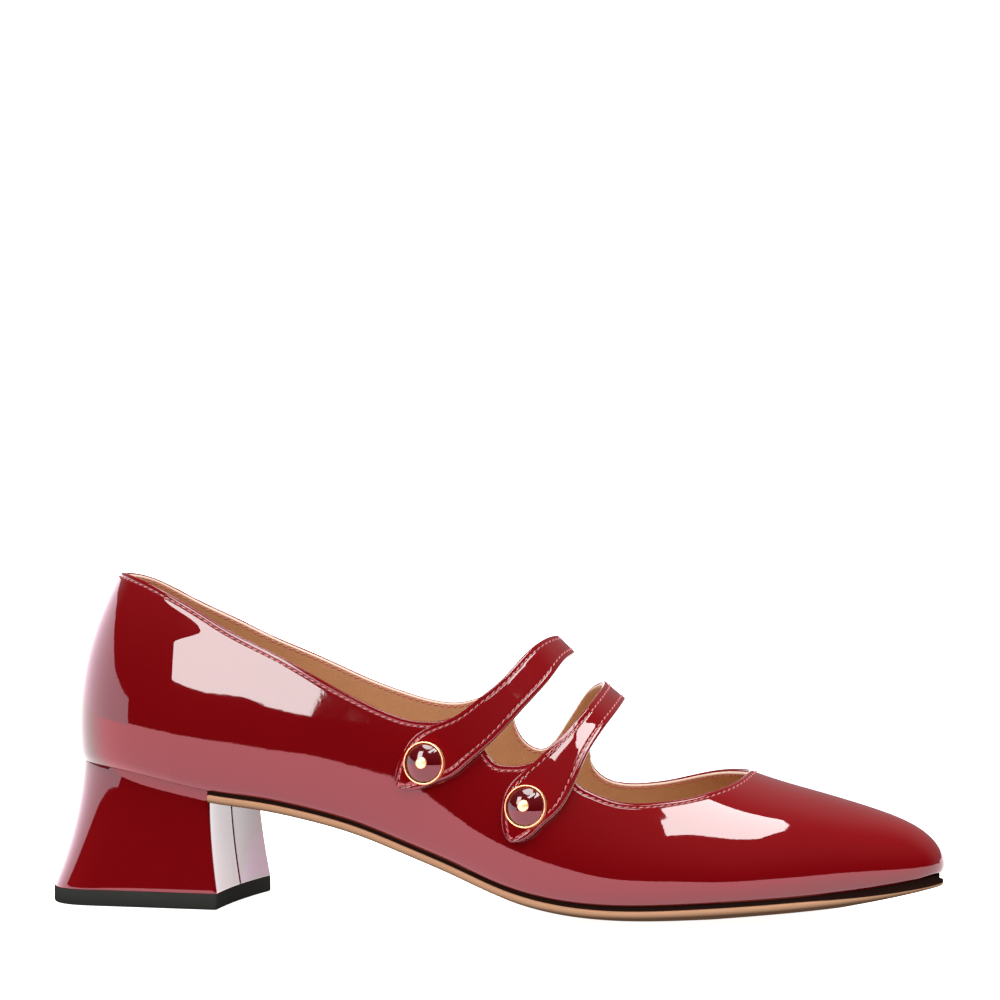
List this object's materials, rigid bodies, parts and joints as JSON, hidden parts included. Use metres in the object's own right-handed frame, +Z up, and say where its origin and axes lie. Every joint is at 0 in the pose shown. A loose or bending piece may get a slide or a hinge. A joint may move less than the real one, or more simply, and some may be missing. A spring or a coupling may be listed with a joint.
{
  "type": "mary jane shoe",
  "caption": "Women's mary jane pump in gloss leather with a pointed toe, covered block heel, leather sole, and straps that button at the outer side.",
  "frame": {"origin": "centre of the flat bottom face of the heel's top piece, on the floor", "axes": "+X along the shoe towards the toe, +Y towards the inner side of the foot, so the buttons are on the -Y side, +Z up"},
  "size_m": [0.2558, 0.0799, 0.0944],
  "materials": {
    "red_patent": "patent gloss",
    "tan_lining": "matte",
    "sole_leather": "satin",
    "black_rubber": "matte",
    "gold_metal": "polished",
    "red_enamel": "gloss"
  },
  "bodies": {
    "root": {"upper": "red_patent", "rear_strap": "red_patent", "front_strap": "red_patent", "heel_block": "red_patent", "insole": "tan_lining", "outsole": "sole_leather", "heel_top_piece": "black_rubber", "rear_stud_rim": "gold_metal", "rear_stud_cap": "red_enamel", "rear_stud_pip": "gold_metal", "front_stud_rim": "gold_metal", "front_stud_cap": "red_enamel", "front_stud_pip": "gold_metal"}
  },
  "joints": []
}
